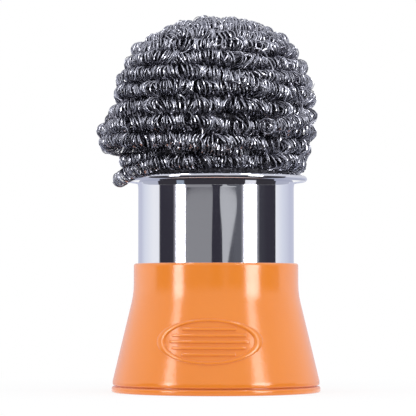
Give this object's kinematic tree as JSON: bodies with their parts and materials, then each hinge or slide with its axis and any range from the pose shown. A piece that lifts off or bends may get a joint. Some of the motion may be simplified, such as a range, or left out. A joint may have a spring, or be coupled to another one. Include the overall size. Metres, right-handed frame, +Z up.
{
  "type": "pot scrubber",
  "caption": "Palm-held pot scrubber: a ball of curled stainless wire in a polished, lipped steel cup, pressed into a flared plastic handle with a flat base.",
  "frame": {"origin": "centre of the base cap's flat underside", "axes": "+Z up the axis from the base cap towards the wire ball, -Y out of the front, where the oval thumb grip is, +X to the right of a viewer who faces it"},
  "size_m": [0.0697, 0.065, 0.1168],
  "materials": {
    "handle_plastic": "glossy moulded polypropylene, orange",
    "polished_steel": "mirror-polished drawn stainless steel",
    "fastener_steel": "plain stainless fasteners",
    "wool_wire": "flattened, curled stainless wire, bright edges over dark gaps"
  },
  "bodies": {
    "root": {"base_cap": "handle_plastic", "handle_shell": "handle_plastic", "steel_collar": "polished_steel", "clamp_disc": "handle_plastic", "clamp_bolt": "fastener_steel", "flat_washer": "fastener_steel", "lock_nut": "fastener_steel", "scourer_core": "wool_wire", "scourer_winding": "wool_wire"}
  },
  "joints": []
}
